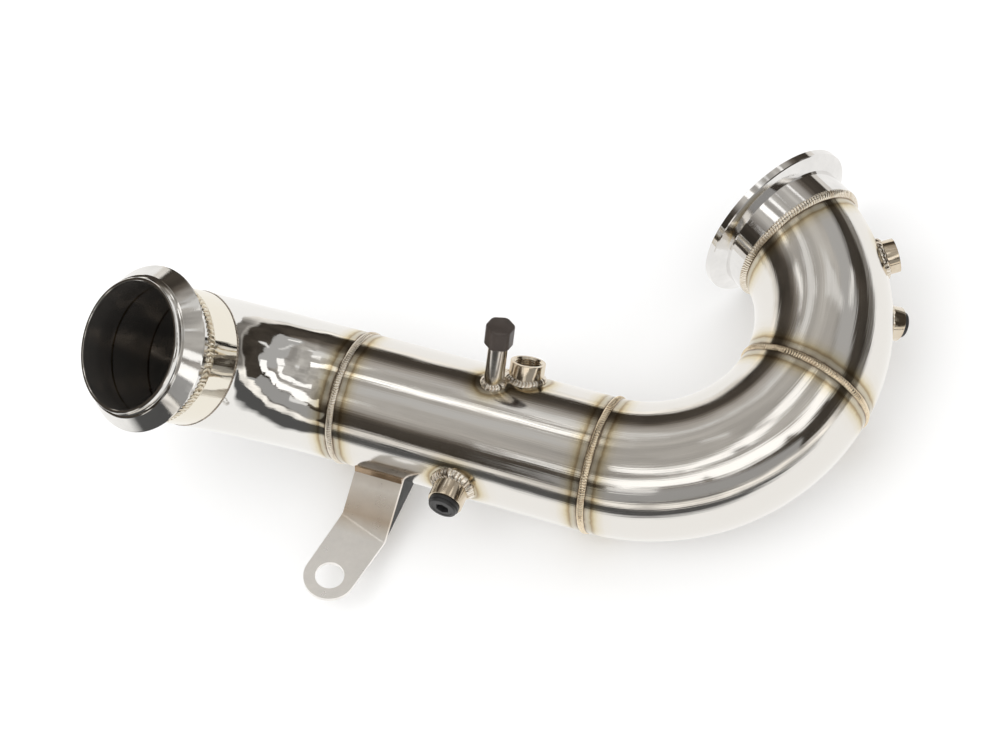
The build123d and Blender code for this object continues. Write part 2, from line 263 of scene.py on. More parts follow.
def ramp(tree, fac, stops):
    r = node(tree, "ShaderNodeValToRGB", {0: fac})
    e = r.color_ramp.elements
    while len(e) > 1:
        e.remove(e[-1])
    e[0].position, e[0].color = stops[0][0], (*stops[0][1], 1)
    for pos, colour in stops[1:]:
        e.new(pos).color = (*colour, 1)
    return r.outputs[0]


def calc(tree, a, b, op="MULTIPLY"):
    """One step of arithmetic, a product unless another step is named."""
    return node(tree, "ShaderNodeMath", {0: a, 1: b}, operation=op).outputs[0]


def vector_calc(tree, op, *parts, out=0):
    return node(tree, "ShaderNodeVectorMath", dict(enumerate(parts)), operation=op).outputs[out]


def texture(tree, vector, scale, detail, rough, stretch=(1, 1, 1)):
    inputs = {"Vector": vector_calc(tree, "MULTIPLY", vector, stretch), "Scale": scale, "Detail": detail,
              "Roughness": rough}
    return node(tree, "ShaderNodeTexNoise", inputs).outputs[0]


def spread(tree, fac, low, high, to_low, to_high):
    return node(tree, "ShaderNodeMapRange", {0: fac, 1: low, 2: high, 3: to_low, 4: to_high}).outputs[0]


def mix(tree, fac, a, b, blend="MIX"):
    return node(tree, "ShaderNodeMix", {0: fac, 6: a, 7: b}, data_type="RGBA", blend_type=blend).outputs[2]


def mix_value(tree, fac, a, b):
    return node(tree, "ShaderNodeMix", {0: fac, 2: a, 3: b}, data_type="FLOAT").outputs[0]


def bump(tree, strength, distance, height, under=None):
    inputs = {"Strength": strength, "Distance": distance, "Height": height}
    if under:
        inputs["Normal"] = under
    return node(tree, "ShaderNodeBump", inputs).outputs[0]


def position(tree):
    return node(tree, "ShaderNodeNewGeometry").outputs["Position"]


def layer(tree, name):
    """The two numbers of a UV layer."""
    return node(tree, "ShaderNodeSeparateXYZ", {0: node(tree, "ShaderNodeUVMap", uv_map=name).outputs[0]}).outputs[:2]


# Materials. The bore of every piece is duller and darker than its outside
BORE_COLOUR, BORE_ROUGH, BORE_METAL = (0.44, 0.415, 0.385, 1), 0.15, 0.9
WITHIN_WALL = (43.3, 44.0)  # the radii in millimetres between which the look changes
FINE_BUMP = 0.0001

# Heat colours by the distance in millimetres from the middle of a bead
HEAT_REACH = 24.0
HEAT = [
    (0.0, (0.30, 0.22, 0.17)), (2.6, (0.22, 0.17, 0.12)), (3.2, (0.56, 0.50, 0.40)), (4.6, (0.70, 0.66, 0.56)),
    (6.2, (0.66, 0.60, 0.46)), (7.1, (0.46, 0.37, 0.24)), (7.9, (0.58, 0.48, 0.31)), (9.4, (0.84, 0.76, 0.57)),
    (12.0, (0.94, 0.90, 0.80)), (16.0, (0.99, 0.98, 0.96)), (22.0, (1.0, 1.0, 1.0)),
]
HEAT_SHIFT = 2.4


def steel(name, base, rough, brush, dents=0.0):
    """Polished stainless tube: lengthwise polishing lines, shallow dents and heat colours by the welds.
    Its layers hold the way along and two coordinates across the tube, then the distance from a weld."""
    material, tree, bsdf = new_material(name)
    along, across_a = layer(tree, "flow")
    across_b, heat = layer(tree, "heat")
    flow = node(tree, "ShaderNodeCombineXYZ", {0: along, 1: across_a, 2: across_b}).outputs[0]
    uneven = calc(tree, texture(tree, flow, 0.09, 4.0, 0.6), 0.5, "SUBTRACT")
    fine = calc(tree, texture(tree, flow, 0.5, 3.0, 0.6), 0.5, "SUBTRACT")
    shift = calc(tree, calc(tree, uneven, HEAT_SHIFT), fine, "ADD")
    reach = calc(tree, calc(tree, heat, shift, "ADD"), 1 / HEAT_REACH)
    tint = ramp(tree, reach, [(d / HEAT_REACH, c) for d, c in HEAT])
    colour = mix(tree, 1.0, (*base, 1), tint, "MULTIPLY")
    # The radius of the wall tells the bore from the outside
    squares = calc(tree, calc(tree, across_a, across_a), calc(tree, across_b, across_b), "ADD")
    outside = spread(tree, calc(tree, squares, 0.5, "POWER"), *WITHIN_WALL, 0.0, 1.0)
    tree.links.new(mix(tree, outside, BORE_COLOUR, colour), bsdf.inputs["Base Color"])
    tree.links.new(spread(tree, outside, 0.0, 1.0, BORE_METAL, 1.0), bsdf.inputs["Metallic"])
    lines = texture(tree, flow, 1.0, 2.0, 0.6, (0.012, 1.3, 1.3))
    smudge = spread(tree, texture(tree, flow, 0.05, 3.0, 0.6), 0.35, 0.7, rough * 0.75, rough * 1.3)
    streaks = spread(tree, lines, 0.3, 0.7, -0.015 * brush, 0.03 * brush)
    r = mix_value(tree, outside, BORE_ROUGH, calc(tree, smudge, streaks, "ADD"))
    tree.links.new(r, bsdf.inputs["Roughness"])
    polish = bump(tree, 0.09 * brush, 0.0004, lines)
    soft = texture(tree, flow, 0.035, 2.0, 0.5, (0.5, 1, 1))
    tree.links.new(bump(tree, 0.35 + dents, 0.0012, soft, polish), bsdf.inputs["Normal"])
    return material


def turned(name, base, rough, axis, pitch, amount, tint=None, inside=None):
    """Turned steel: fine rings about an axis. Inside is the radius below which it is a bore."""
    material, tree, bsdf = new_material(name)
    place = position(tree)
    off = vector_calc(tree, "ADD", place, tuple(-axis.o * MM))
    along = calc(tree, vector_calc(tree, "DOT_PRODUCT", off, tuple(axis.x), out="Value"), TO_MM)
    across = vector_calc(tree, "CROSS_PRODUCT", off, tuple(axis.x))
    radius = calc(tree, vector_calc(tree, "LENGTH", across, out="Value"), TO_MM)
    both = node(tree, "ShaderNodeCombineXYZ", {0: along, 1: radius}).outputs[0]
    rings = texture(tree, both, 1.0 / pitch, 3.0, 0.7)
    clouded = tint or tuple(c * 0.86 for c in base)
    colour = ramp(tree, texture(tree, place, 45.0, 3.0, 0.6), [(0.3, base), (0.75, clouded)])
    r = spread(tree, rings, 0.3, 0.7, rough * 0.8, rough * 1.3)
    if inside:
        # The neck behind the register is a little wider than the tube's bore
        neck = calc(tree, spread(tree, along, 13.0, 14.0, 1.0, 0.0), spread(tree, radius, 43.0, 43.3, 1.0, 0.0))
        bore = calc(tree, spread(tree, radius, inside, inside + 0.2, 1.0, 0.0), neck, "MAXIMUM")
        colour = mix(tree, bore, colour, BORE_COLOUR)
        r = mix_value(tree, bore, r, BORE_ROUGH)
        tree.links.new(spread(tree, bore, 0.0, 1.0, 1.0, BORE_METAL), bsdf.inputs["Metallic"])
    else:
        bsdf.inputs["Metallic"].default_value = 1.0
    tree.links.new(colour, bsdf.inputs["Base Color"])
    tree.links.new(r, bsdf.inputs["Roughness"])
    tree.links.new(bump(tree, amount, FINE_BUMP, rings), bsdf.inputs["Normal"])
    return material


TOE_SHADES = [(0.0, (1, 1, 1)), (0.78, (1, 1, 1)), (0.97, (0.30, 0.23, 0.18)), (1.0, (0.16, 0.14, 0.13))]
# Painted shade: the valleys between a bead's modelled ripples are darkened, most at their bottoms
VALLEY_PAINTED_SHADE = [(0.0, (0.46, 0.36, 0.27)), (0.35, (0.86, 0.82, 0.76)), (1.0, (1, 1, 1))]


def bead_material(name, stops, rough):
    """Weld metal, darker at its toes, with painted shade in the valleys between its ripples."""
    material, tree, bsdf = new_material(name)
    place = position(tree)
    cloud = texture(tree, place, 60.0, 4.0, 0.65)
    colour = ramp(tree, cloud, stops)
    toe, wave = layer(tree, "toe")
    # Multiplies in the toe darkening and the painted shade of the ripple valleys
    for shade in (ramp(tree, toe, TOE_SHADES), ramp(tree, wave, VALLEY_PAINTED_SHADE)):
        colour = mix(tree, 1.0, colour, shade, "MULTIPLY")
    tree.links.new(colour, bsdf.inputs["Base Color"])
    bsdf.inputs["Metallic"].default_value = 1.0
    tree.links.new(spread(tree, cloud, 0.3, 0.7, rough * 0.8, rough * 1.35), bsdf.inputs["Roughness"])
    grain = texture(tree, place, 1500.0, 3.0, 0.6)
    tree.links.new(bump(tree, 0.5, FINE_BUMP, grain), bsdf.inputs["Normal"])
    return material


def plain(name, base, rough, metallic, grain, amount, vary, shade=None):
    """A slightly clouded and grainy finish. Shade adds a further colour to multiply by, from the tree."""
    material, tree, bsdf = new_material(name)
    place = position(tree)
    cloud = texture(tree, place, 70.0, 4.0, 0.6)
    colour = ramp(tree, cloud, [
        (0.3, tuple(c * (1 - vary) for c in base)), (0.7, tuple(min(1, c * (1 + vary)) for c in base))])
    if shade:
        colour = mix(tree, 1.0, colour, shade(tree), "MULTIPLY")
    tree.links.new(colour, bsdf.inputs["Base Color"])
    bsdf.inputs["Metallic"].default_value = metallic
    tree.links.new(spread(tree, cloud, 0.3, 0.7, rough * 0.85, rough * 1.2), bsdf.inputs["Roughness"])
    tree.links.new(bump(tree, amount, FINE_BUMP, texture(tree, place, grain, 3.0, 0.6)), bsdf.inputs["Normal"])
    return material


STAIN_FROM, STAIN_SPAN = 40.0, 60.0


def strap_stain(tree):
    """Brown near the tube and along the fold, by the distance from the main tube's axis."""
    place = position(tree)
    off = vector_calc(tree, "ADD", place, (0, -WELD[1] * MM, -WELD[2] * MM))
    flat = vector_calc(tree, "MULTIPLY", off, (0, 1, 1))
    away = calc(tree, vector_calc(tree, "LENGTH", flat, out="Value"), TO_MM)
    away = calc(tree, away, calc(tree, texture(tree, place, 60.0, 3.0, 0.6), 6.0), "ADD")
    return ramp(tree, calc(tree, calc(tree, away, STAIN_FROM, "SUBTRACT"), 1 / STAIN_SPAN), [
        (0.0, (0.52, 0.40, 0.28)), (0.12, (0.76, 0.70, 0.64)), (0.30, (0.94, 0.91, 0.87)), (0.62, (0.70, 0.60, 0.50)),
        (0.74, (0.90, 0.86, 0.81)), (0.86, (1, 1, 1))])


tube_steel = steel("tube_steel", (0.80, 0.78, 0.75), 0.085, brush=1.15)
front_steel = steel("mirror_steel", (0.82, 0.81, 0.79), 0.05, brush=0.5, dents=0.9)
stub_steel = steel("golden_steel", (0.83, 0.79, 0.70), 0.05, brush=0.5, dents=0.9)
tan_bead = bead_material("tan_bead", [
    (0.3, (0.84, 0.69, 0.49)), (0.5, (0.96, 0.86, 0.68)), (0.7, (0.74, 0.56, 0.39))], 0.2)
pale_bead = bead_material("pale_bead", [
    (0.3, (0.80, 0.74, 0.62)), (0.5, (0.92, 0.88, 0.80)), (0.7, (0.72, 0.62, 0.48))], 0.2)
silver_bead = bead_material("silver_bead", [
    (0.3, (0.74, 0.69, 0.61)), (0.55, (0.88, 0.84, 0.77)), (0.75, (0.55, 0.42, 0.29))], 0.17)
outlet_bead = bead_material("outlet_bead", [
    (0.3, (0.62, 0.54, 0.38)), (0.5, (0.84, 0.80, 0.70)), (0.7, (0.50, 0.42, 0.28))], 0.16)
seam_bead = bead_material("seam_bead", [
    (0.3, (0.30, 0.27, 0.24)), (0.5, (0.55, 0.50, 0.44)), (0.7, (0.24, 0.21, 0.18))], 0.22)
inlet_steel = turned("inlet_turned", (0.84, 0.83, 0.82), 0.05, inlet, 0.35, 0.10, inside=42.97)
outlet_steel = turned("outlet_turned", (0.82, 0.81, 0.79), 0.06, outlet, 0.35, 0.12, inside=41.25)
port_steel = turned("port_turned", (0.76, 0.74, 0.71), 0.11, port, 0.5, 0.2, (0.66, 0.60, 0.53))
black_plug = plain("plug_black", (0.024, 0.023, 0.023), 0.36, 0.0, 900.0, 0.3, 0.25)
black_cap = plain("cap_dark", (0.050, 0.038, 0.032), 0.34, 0.0, 900.0, 0.35, 0.25)
strap_steel = plain("strap_satin", (0.90, 0.88, 0.85), 0.30, 1.0, 1200.0, 0.06, 0.07, strap_stain)
# Painted shade: the gusset is steel like the strap, coloured near-black for its shaded face behind the strap
painted_shade_gusset = plain("gusset_painted_shade", (0.016, 0.015, 0.014), 0.4, 1.0, 1200.0, 0.3, 0.1)


# Tubes
def locate(run, co):
    """The way along, the angle round and the radius of points near a run."""
    d = co - run.o
    if run.bend is None:
        s = d @ run.x
        u, v = d @ run.y, d @ run.z
    else:
        px, py = d @ run.x, run.bend - d @ run.y
        s = run.bend * np.arctan2(px, py)
        u, v = run.bend - np.hypot(px, py), d @ run.z
    return s, np.arctan2(v, u), np.hypot(u, v)


def from_axis(co, boss):
    return np.linalg.norm(np.cross(co - boss.o, boss.x), axis=-1)


def cut_hole(ob, boss, radius):
    """Drills a round hole through the wall under a boss."""
    bm = bmesh.new()
    bmesh.ops.create_cone(bm, cap_ends=True, segments=48, radius1=radius * MM, radius2=radius * MM, depth=16 * MM)
    m = Matrix([[boss.y[i], boss.z[i], boss.x[i]] for i in range(3)]).to_4x4()
    m.translation = Vector((boss.o + boss.x * TUBE_R) * MM)
    bmesh.ops.transform(bm, matrix=m, verts=bm.verts)
    me = bpy.data.meshes.new("drill")
    bm.to_mesh(me)
    bm.free()
    drill = link("drill", me)
    mod = ob.modifiers.new("hole", "BOOLEAN")
    mod.operation, mod.object, mod.solver = "DIFFERENCE", drill, "EXACT"
    bpy.context.view_layer.update()
    made = bpy.data.meshes.new_from_object(ob.evaluated_get(bpy.context.evaluated_depsgraph_get()))
    ob.modifiers.clear()
    old = ob.data
    ob.data = made
    bpy.data.meshes.remove(old)
    bpy.data.objects.remove(drill)
    bpy.data.meshes.remove(me)


UNHEATED = 60.0  # a distance from the welds at which the steel keeps its own colour
TUBE_STEP, DENT_SIZE = 1.6, 17.0
JOINT_FADE, BOSS_CLEAR, BOSS_FADE = 8.0, 5.0, 10.0


def tube(name, run, start, end, material, dents, seed, welds=(), bosses=()):
    """A tube wall with dents of that depth between two joints, each given as (place, tilt, gap).
    Bosses are (frame, radius, hole). Welds and bosses give it its heat colours."""
    phi = angles(TUBE_POINTS)
    n = max(8, int(abs(end[0] - start[0]) / TUBE_STEP))
    rows = []
    for r, shares in ((TUBE_R, np.linspace(0, 1, n + 1)), (BORE_R, np.linspace(1, 0, n // 3 + 2))):
        s0, s1 = (run.mitre(*joint, phi, r) for joint in (start, end))
        rows += [run.point(s0 + (s1 - s0) * t, phi, r) for t in shares]
    ob = grid_piece(name, rows, sharp=60)
    for boss, _, hole in bosses:
        cut_hole(ob, boss, hole)
    co = coords(ob)
    s, ph, rad = locate(run, co)
    # Dents, none of them in the bore, at the joints or beside a boss
    amount = wobble(np.stack([s * 0.55, TUBE_R * np.cos(ph), TUBE_R * np.sin(ph)], -1), DENT_SIZE, seed) * dents
    fade = np.clip(np.minimum(s - start[0], end[0] - s) / JOINT_FADE, 0, 1)
    for boss, _, hole in bosses:
        fade = fade * np.clip((from_axis(co, boss) - hole - BOSS_CLEAR) / BOSS_FADE, 0, 1)
    _, _, inward = run.at(s)
    out = inward * np.cos(ph)[:, None] + run.z * np.sin(ph)[:, None]
    co = co + out * (amount * fade * (rad > TUBE_R - 0.7))[:, None]
    ob.data.vertices.foreach_set("co", (co * MM).reshape(-1).astype(np.float32))
    ob.data.update()
    heat = np.full(len(co), UNHEATED)
    for joint in welds:
        heat = np.minimum(heat, np.abs((co - joint.o) @ joint.x))
    for boss, radius, _ in bosses:
        near = (co - boss.o) @ boss.x > 0
        heat = np.minimum(heat, np.where(near, from_axis(co, boss) - radius + 1.6, UNHEATED))
    carry(ob, flow=(s + seed * 400, rad * np.cos(ph)), heat=(rad * np.sin(ph), heat))
    return own(ob, name.replace("_wall", ""), material)


def bung_at(boss):
    return boss, BUNG_R, BUNG_HOLE_R


start_joint = (0, 0, HALF_GAP)
tube("main_tube_wall", main, start_joint, (MAIN_LENGTH, 0, -HALF_GAP), tube_steel, 0.10, 1.7,
     (front, double), (bung_at(top_bung), bung_at(low_bung), (port, 6.4, PORT_HOLE_R)))
tube("lower_elbow_wall", double, start_joint, (BEND_R * LOWER_TURN, 0, -HALF_GAP), tube_steel, 0.22, 5.2,
     (double, elbow_joint))
tube("upper_elbow_wall", double, (BEND_R * LOWER_TURN, 0, HALF_GAP),
     (BEND_R * BOTH_TURNS, INLET_KINK / 2, -HALF_GAP), tube_steel, 0.16, 9.4,
     (elbow_joint, inlet_mitre), (bung_at(side_bung), bung_at(rear_bung)))
tube("front_elbow_wall", front, start_joint, (BEND_R * FRONT_TURN, STUB_KINK / 2, -HALF_GAP), front_steel, 0.30, 3.3,
     (front,))
tube("outlet_stub_wall", stub, (0, -STUB_KINK / 2, HALF_GAP), (STUB_LENGTH, 0, 0), stub_steel, 0.20, 7.1)


# Flanges
def revolve(name, run, profile, material, tilt=0.0):
    """A ring with that closed profile of (along, radius). Points with a third value True lie in the mitre."""
    phi = angles(RING_POINTS)
    rows = []
    for s, r, *mitred in profile:
        if mitred:
            s = (s + r * np.cos(phi) * math.sin(-tilt)) / math.cos(tilt)
        rows.append(run.point(s, phi, r))
    return own(grid_piece(name, rows, sharp=18), name.replace("_ring", ""), material)


revolve("inlet_flange_ring", inlet, [
    (HALF_GAP, BORE_R, True), (HALF_GAP, 47.6, True), (HALF_GAP + 0.4, COLLAR_R, True), (6.0, COLLAR_R),
    (12.0, COLLAR_R), (18.4, COLLAR_R), (22.55, 57.75), (23.1, RIM_R), (27.3, RIM_R), (27.8, 57.8), (27.8, 53.0),
    (27.8, 48.4), (27.5, COLLAR_R), (26.2, COLLAR_R), (26.2, 45.0), (26.2, 43.3), (25.9, BORE_R), (14.0, BORE_R),
], inlet_steel, tilt=-INLET_KINK / 2)
NOSE_BORE_R, NOSE_END = 41.2, 26.2
revolve("outlet_flange_ring", outlet, [
    (HALF_GAP, BORE_R), (HALF_GAP, 45.8), (HALF_GAP + 0.4, CONE_NECK_R), (9.2, CONE_NECK_R), (9.4, 46.3), (11.2, 52.9),
    (11.5, 53.2), (11.8, 53.5), (12.1, 53.2), (12.4, 52.9), (21.6, 45.9), (21.8, 45.6), (21.8, 44.2), (22.2, 43.7),
    (23.2, 43.4), (25.6, 43.4), (26.0, 43.2), (NOSE_END, 42.8), (NOSE_END, 41.5), (25.9, NOSE_BORE_R),
    (16.0, NOSE_BORE_R), (11.8, NOSE_BORE_R), (5.1, BORE_R),
], outlet_steel)


# Welds. Their layer holds how near a point is to a toe and how high it is on its ripple
RIPPLE_POINTS = 7.0  # points round the joint for each ripple
ROOT_SHADE = (0.9, 0.3)


def weld_piece(name, rows, layers, material):
    ob = grid_piece(name, rows, sharp=75)
    toes, waves = (np.array(values).reshape(-1) for values in zip(*layers))
    carry(ob, toe=(toes, waves))
    return own(ob, name.replace("_bead", ""), material)


def bead(name, run, width, height, left, right, material, pitch, ripple, seed, shift=0.0):
    """A rippled bead round a joint: width to each side, crown height, the wall radii it joins and its shift back."""
    count = int(round(2 * math.pi * left / (pitch / RIPPLE_POINTS)))
    phi = angles(count)
    drift = ring_noise(phi, 3, seed, 4.0)
    rows, layers = [], []
    for k, t in enumerate(np.linspace(0, 1, 15)):
        edge = abs(2 * t - 1)
        arch = 1 - edge ** 2.2
        uneven = ring_noise(phi, 9, seed, 0.3 * k)
        wave = ripples(phi * left / pitch + 0.55 * edge ** 2 + 0.5 * uneven, 0.72)
        base = left + (right - left) * t
        r = base - 0.35 + (height + 0.35) * arch + ripple * wave * min(1.0, 2.2 * arch) + 0.10 * uneven * arch
        s = -width + 2 * width * t - shift + 0.35 * drift + 0.12 * uneven * (1 if t > 0.5 else -1)
        rows.append(run.point(s, phi, r))
        layers.append((np.full(count, edge), wave + 0.5))
    # The root goes through the gap to the bore
    for s, r in ((width * 0.8, right - 1.0), (HALF_GAP, left - 1.0), (HALF_GAP, BORE_R - 0.02), (0.0, BORE_R - 0.08),
                 (-HALF_GAP, BORE_R - 0.02), (-HALF_GAP, left - 1.0), (-width * 0.8, left - 1.0)):
        rows.append(run.point(s, phi, r))
        layers.append([np.full(count, value) for value in ROOT_SHADE])
    return weld_piece(name, rows, layers, material)


main_ring, front_ring = (Run(joint.o, vec(1, 0, 0), vec(0, 1, 0)) for joint in (double, front))
bead("main_weld_bead", main_ring, 2.6, 1.05, TUBE_R, TUBE_R, tan_bead, 1.7, 0.36, 1.0)
bead("front_weld_bead", front_ring, 2.7, 1.05, TUBE_R, TUBE_R, pale_bead, 1.7, 0.28, 2.0)
bead("elbow_weld_bead", elbow_joint, 2.6, 1.0, TUBE_R, TUBE_R, tan_bead, 1.7, 0.36, 3.0)
bead("seam_weld_bead", seam, 1.2, 0.35, TUBE_R, TUBE_R, seam_bead, 2.2, 0.3, 4.0)
bead("inlet_weld_bead", inlet_mitre, 2.6, 1.3, TUBE_R, COLLAR_R, pale_bead, 1.9, 0.34, 5.0)
bead("outlet_weld_bead", outlet, 4.9, 1.2, TUBE_R, CONE_NECK_R, outlet_bead, 2.9, 0.7, 6.0, shift=1.8)


def surface_height(boss, rho, psi, host):
    """The height of the host tube's outside over its centre line, at a place beside a boss's axis."""
    low, high = np.zeros_like(psi), np.full_like(psi, TUBE_R + 6.0)
    for _ in range(36):
        mid = (low + high) / 2
        inside = locate(host, boss.point(mid, psi, rho))[2] < TUBE_R
        low, high = np.where(inside, mid, low), np.where(inside, high, mid)
    return low


def foot_weld(name, boss, boss_r, leg, host, pitch, seed):
    """A rippled fillet round the foot of a boss, following the tube."""
    psi = angles(int(round(2 * math.pi * (boss_r + 1) / (pitch / RIPPLE_POINTS))))
    uneven, lumps = ring_noise(psi, 5, seed, 1.0), ring_noise(psi, 2, seed, 7.0)
    reach = leg * (1 + 0.18 * uneven + 0.12 * lumps)
    rows, layers = [], []
    for t in np.arange(12) / 11:
        q = t * math.pi / 2
        edge = abs(2 * t - 1) ** 2
        wave = ripples(psi * (boss_r + 1) / pitch + 0.5 * edge + 0.4 * uneven, 0.7)
        swell = 1 + 0.032 * wave * math.sin(2 * q)
        rho = boss_r - 0.25 + (reach + 0.25) * math.sin(q) * swell
        up = reach * 1.05 * math.cos(q) * swell - 0.35 * math.sin(q)
        rows.append(boss.point(surface_height(boss, rho, psi, host) + up, psi, rho))
        layers.append((np.full(len(psi), edge), wave + 0.5))
    for rho in (boss_r + leg * 0.6, boss_r - 0.25):
        rows.append(boss.point(surface_height(boss, rho, psi, host) - 0.8, psi, rho))
        layers.append([np.full(len(psi), 0.5)] * 2)
    return weld_piece(name, rows, layers, silver_bead)


foot_weld("top_bung_weld_bead", top_bung, BUNG_R, 2.6, main, 2.1, 1.0)
foot_weld("low_bung_weld_bead", low_bung, BUNG_R, 3.8, main, 2.4, 2.0)
foot_weld("side_bung_weld_bead", side_bung, BUNG_R, 2.9, double, 2.1, 3.0)
foot_weld("rear_bung_weld_bead", rear_bung, BUNG_R, 2.9, double, 2.1, 4.0)
foot_weld("port_weld_bead", port, PORT_R, 2.6, main, 1.9, 5.0)


# Bungs, cap and plugs
THREAD_FOOT = 43.4  # how far from the tube's centre line the thread ends
THREAD_STEPS = 96


def threaded_bung(name, boss, height, host):
    """A bung with its internal thread, coped to the tube."""
    psi = angles(BUNG_POINTS)
    top = TUBE_R + height
    base = surface_height(boss, BUNG_R, psi, host) - 0.4
    inner_base = surface_height(boss, THREAD_R, psi, host) - 0.2
    mouth_r = 9.5
    rows = [boss.point(s, psi, r) for s, r in (
        (base, BUNG_R), (top - 0.5, BUNG_R), (top - 0.12, BUNG_R - 0.12), (top, BUNG_R - 0.5), (top, mouth_r))]
    for z in np.linspace(0.25, top - THREAD_FOOT, THREAD_STEPS):
        cycle = ((z - psi / (2 * math.pi) * THREAD_PITCH) / THREAD_PITCH) % 1.0
        ridge = np.clip(np.abs(cycle - 0.5) * 2.6 - 0.3, 0, 1)
        # The mouth's chamfer cuts the first turns
        r = np.maximum(THREAD_R + THREAD_DEPTH * ridge, mouth_r - z * 1.1)
        rows.append(boss.point(np.maximum(top - z, inner_base), psi, r))
    material = turned(name + "_turned", (0.74, 0.67, 0.56), 0.1, boss, 0.3, 0.16, (0.62, 0.50, 0.36))
    return own(grid_piece(name, rows, sharp=28), name.replace("_body", ""), material)


threaded_bung("top_bung_body", top_bung, 11.0, main)
threaded_bung("side_bung_body", side_bung, 9.5, double)
threaded_bung("low_bung_body", low_bung, 14.0, main)
threaded_bung("rear_bung_body", rear_bung, 9.5, double)


def hexagon(psi, across, corner, turn):
    """Radius of a hexagon with rounded corners."""
    half = math.pi / 6
    flat = across / 2 * math.cos(half)
    sector = (psi - turn + half) % (2 * half) - half
    inner = (flat - corner) / math.cos(half)
    # The arc of each corner is centred on the line to it, inside the flats
    straight = flat / np.cos(half - np.abs(sector))
    root = corner ** 2 - (inner * np.sin(sector)) ** 2
    arc = inner * np.cos(sector) + np.sqrt(np.maximum(root, 0))
    touch = math.atan2(corner * math.sin(half), inner + corner * math.cos(half))
    return np.where(np.abs(sector) < touch, arc, straight)


def rounded(top, r, edge, count):
    """The points of a rounded top edge, from the side of a piece to its top."""
    return [(top - edge * (1 - math.sin(q)), r - edge * (1 - math.cos(q))) for q in np.linspace(0, math.pi / 2, count)]


def hex_cap(name, boss, bottom, top, material):
    """A cap with rounded corners and a rounded top edge, pushed over the port."""
    psi = angles(HEX_POINTS)
    out = hexagon(psi, 19.6, 4.4, math.radians(24))
    socket_r, edge = PORT_R + 0.02, 1.3
    profile = [(bottom + 9.0, socket_r), (bottom, socket_r), (bottom, out - 0.5), (bottom + 0.5, out)]
    profile += [(bottom + z, out) for z in (4.0, 8.0, 12.0)] + rounded(top, out, edge, 7)
    profile += [(top + 0.12 * (1 - f), (out - edge) * f) for f in (0.9, 0.6, 0.3, 0.02)]
    profile += [(top - 1.2, 0.1), (top - 3.0, 6.3)]
    rows = [boss.point(s, psi, r) for s, r in profile]
    return own(grid_piece(name, rows, sharp=30), "port_cap", material)


def hex_plug(name, node, boss, mouth, head, height, material):
    """A threaded plug with a stepped head and a hexagon socket."""
    psi = angles(HEX_POINTS)
    key = hexagon(psi, 9.2, 0.3, 0.4)
    shank_r, step, edge, half = 8.05, 0.8, 0.9, height * 0.5
    profile = [(-6.5, 0.05), (-6.5, 7.4), (-6.0, shank_r), (0.02, shank_r), (0.02, head - 0.3), (0.3, head),
               (half - 0.2, head), (half, head - 0.2), (half + 0.1, head - step), (height - edge, head - step)]
    profile += rounded(height, head - step, edge, 6)
    profile += [(height, 7.2), (height - 0.35, 6.9), (height - 0.35, 5.4), (height - 0.35, key + 0.25),
                (height - 0.6, key), (height - 3.6, key), (height - 3.9, 0.05)]
    rows = [boss.point(mouth + s, psi, r) for s, r in profile]
    return own(grid_piece(name, rows, sharp=30), node, material)


hex_cap("port_cap_body", port, TUBE_R + 32.2, TUBE_R + 46.9, black_cap)
hex_plug("low_plug_body", "low_plug", low_bung, TUBE_R + 14.0, 10.2, 4.6, black_plug)
hex_plug("rear_plug_body", "rear_plug", rear_bung, TUBE_R + 9.5, 9.3, 4.0, black_plug)

# Solids that are shown as they are
# The bracket's gusset gets the near-black painted-shade material
for name, material in (("pressure_port", port_steel), ("bracket", strap_steel), ("bracket_gusset", painted_shade_gusset),
                       ("bracket_weld", silver_bead)):
    nodes[name].data.materials.clear()
    nodes[name].data.materials.append(material)


# Studio: a white bench and backdrop, a dark room above them, and panels of light that only reflections see
LAMP_COLOUR = (1, 0.985, 0.96, 1)
LAMP_HEIGHT = 0.75


def lamp_card(name, corners, strength):
    me = bpy.data.meshes.new(name)
    me.from_pydata(corners, [], [(0, 1, 2, 3)])
    ob = link(name, me)
    material = bpy.data.materials.new(name)
    tree = shader_tree(material)
    glow = node(tree, "ShaderNodeEmission", {0: LAMP_COLOUR, 1: strength})
    node(tree, "ShaderNodeOutputMaterial", {0: glow.outputs[0]})
    me.materials.append(material)
    ob.visible_camera = ob.visible_diffuse = ob.visible_shadow = False


def card(name, azimuth, elevation, wide, high, strength, distance):
    """A card that faces the part, its place and its size in degrees."""
    a, e = math.radians(azimuth), math.radians(elevation)
    d = Vector((math.cos(e) * math.cos(a), math.cos(e) * math.sin(a), math.sin(e)))
    turn = d.to_track_quat("Z", "Y").to_matrix()
    w, t = distance * math.tan(math.radians(wide / 2)), distance * math.tan(math.radians(high / 2))
    corners = [d * distance + turn @ Vector((x, y, 0)) for x, y in ((-w, -t), (w, -t), (w, t), (-w, t))]
    lamp_card(name, corners, strength)


def bar(name, start, end, wide, strength):
    """A flat strip of the lamp frame over the bench, between two points."""
    a, b = Vector((*start, LAMP_HEIGHT)), Vector((*end, LAMP_HEIGHT))
    side = (b - a).cross(Vector((0, 0, 1))).normalized() * wide / 2
    lamp_card(name, [a - side, a + side, b + side, b - side], strength)


card("wall_front", 300, 23, 84, 20, 0.36, 3.2)
card("fill_right", 40, 44, 60, 22, 0.45, 3.0)
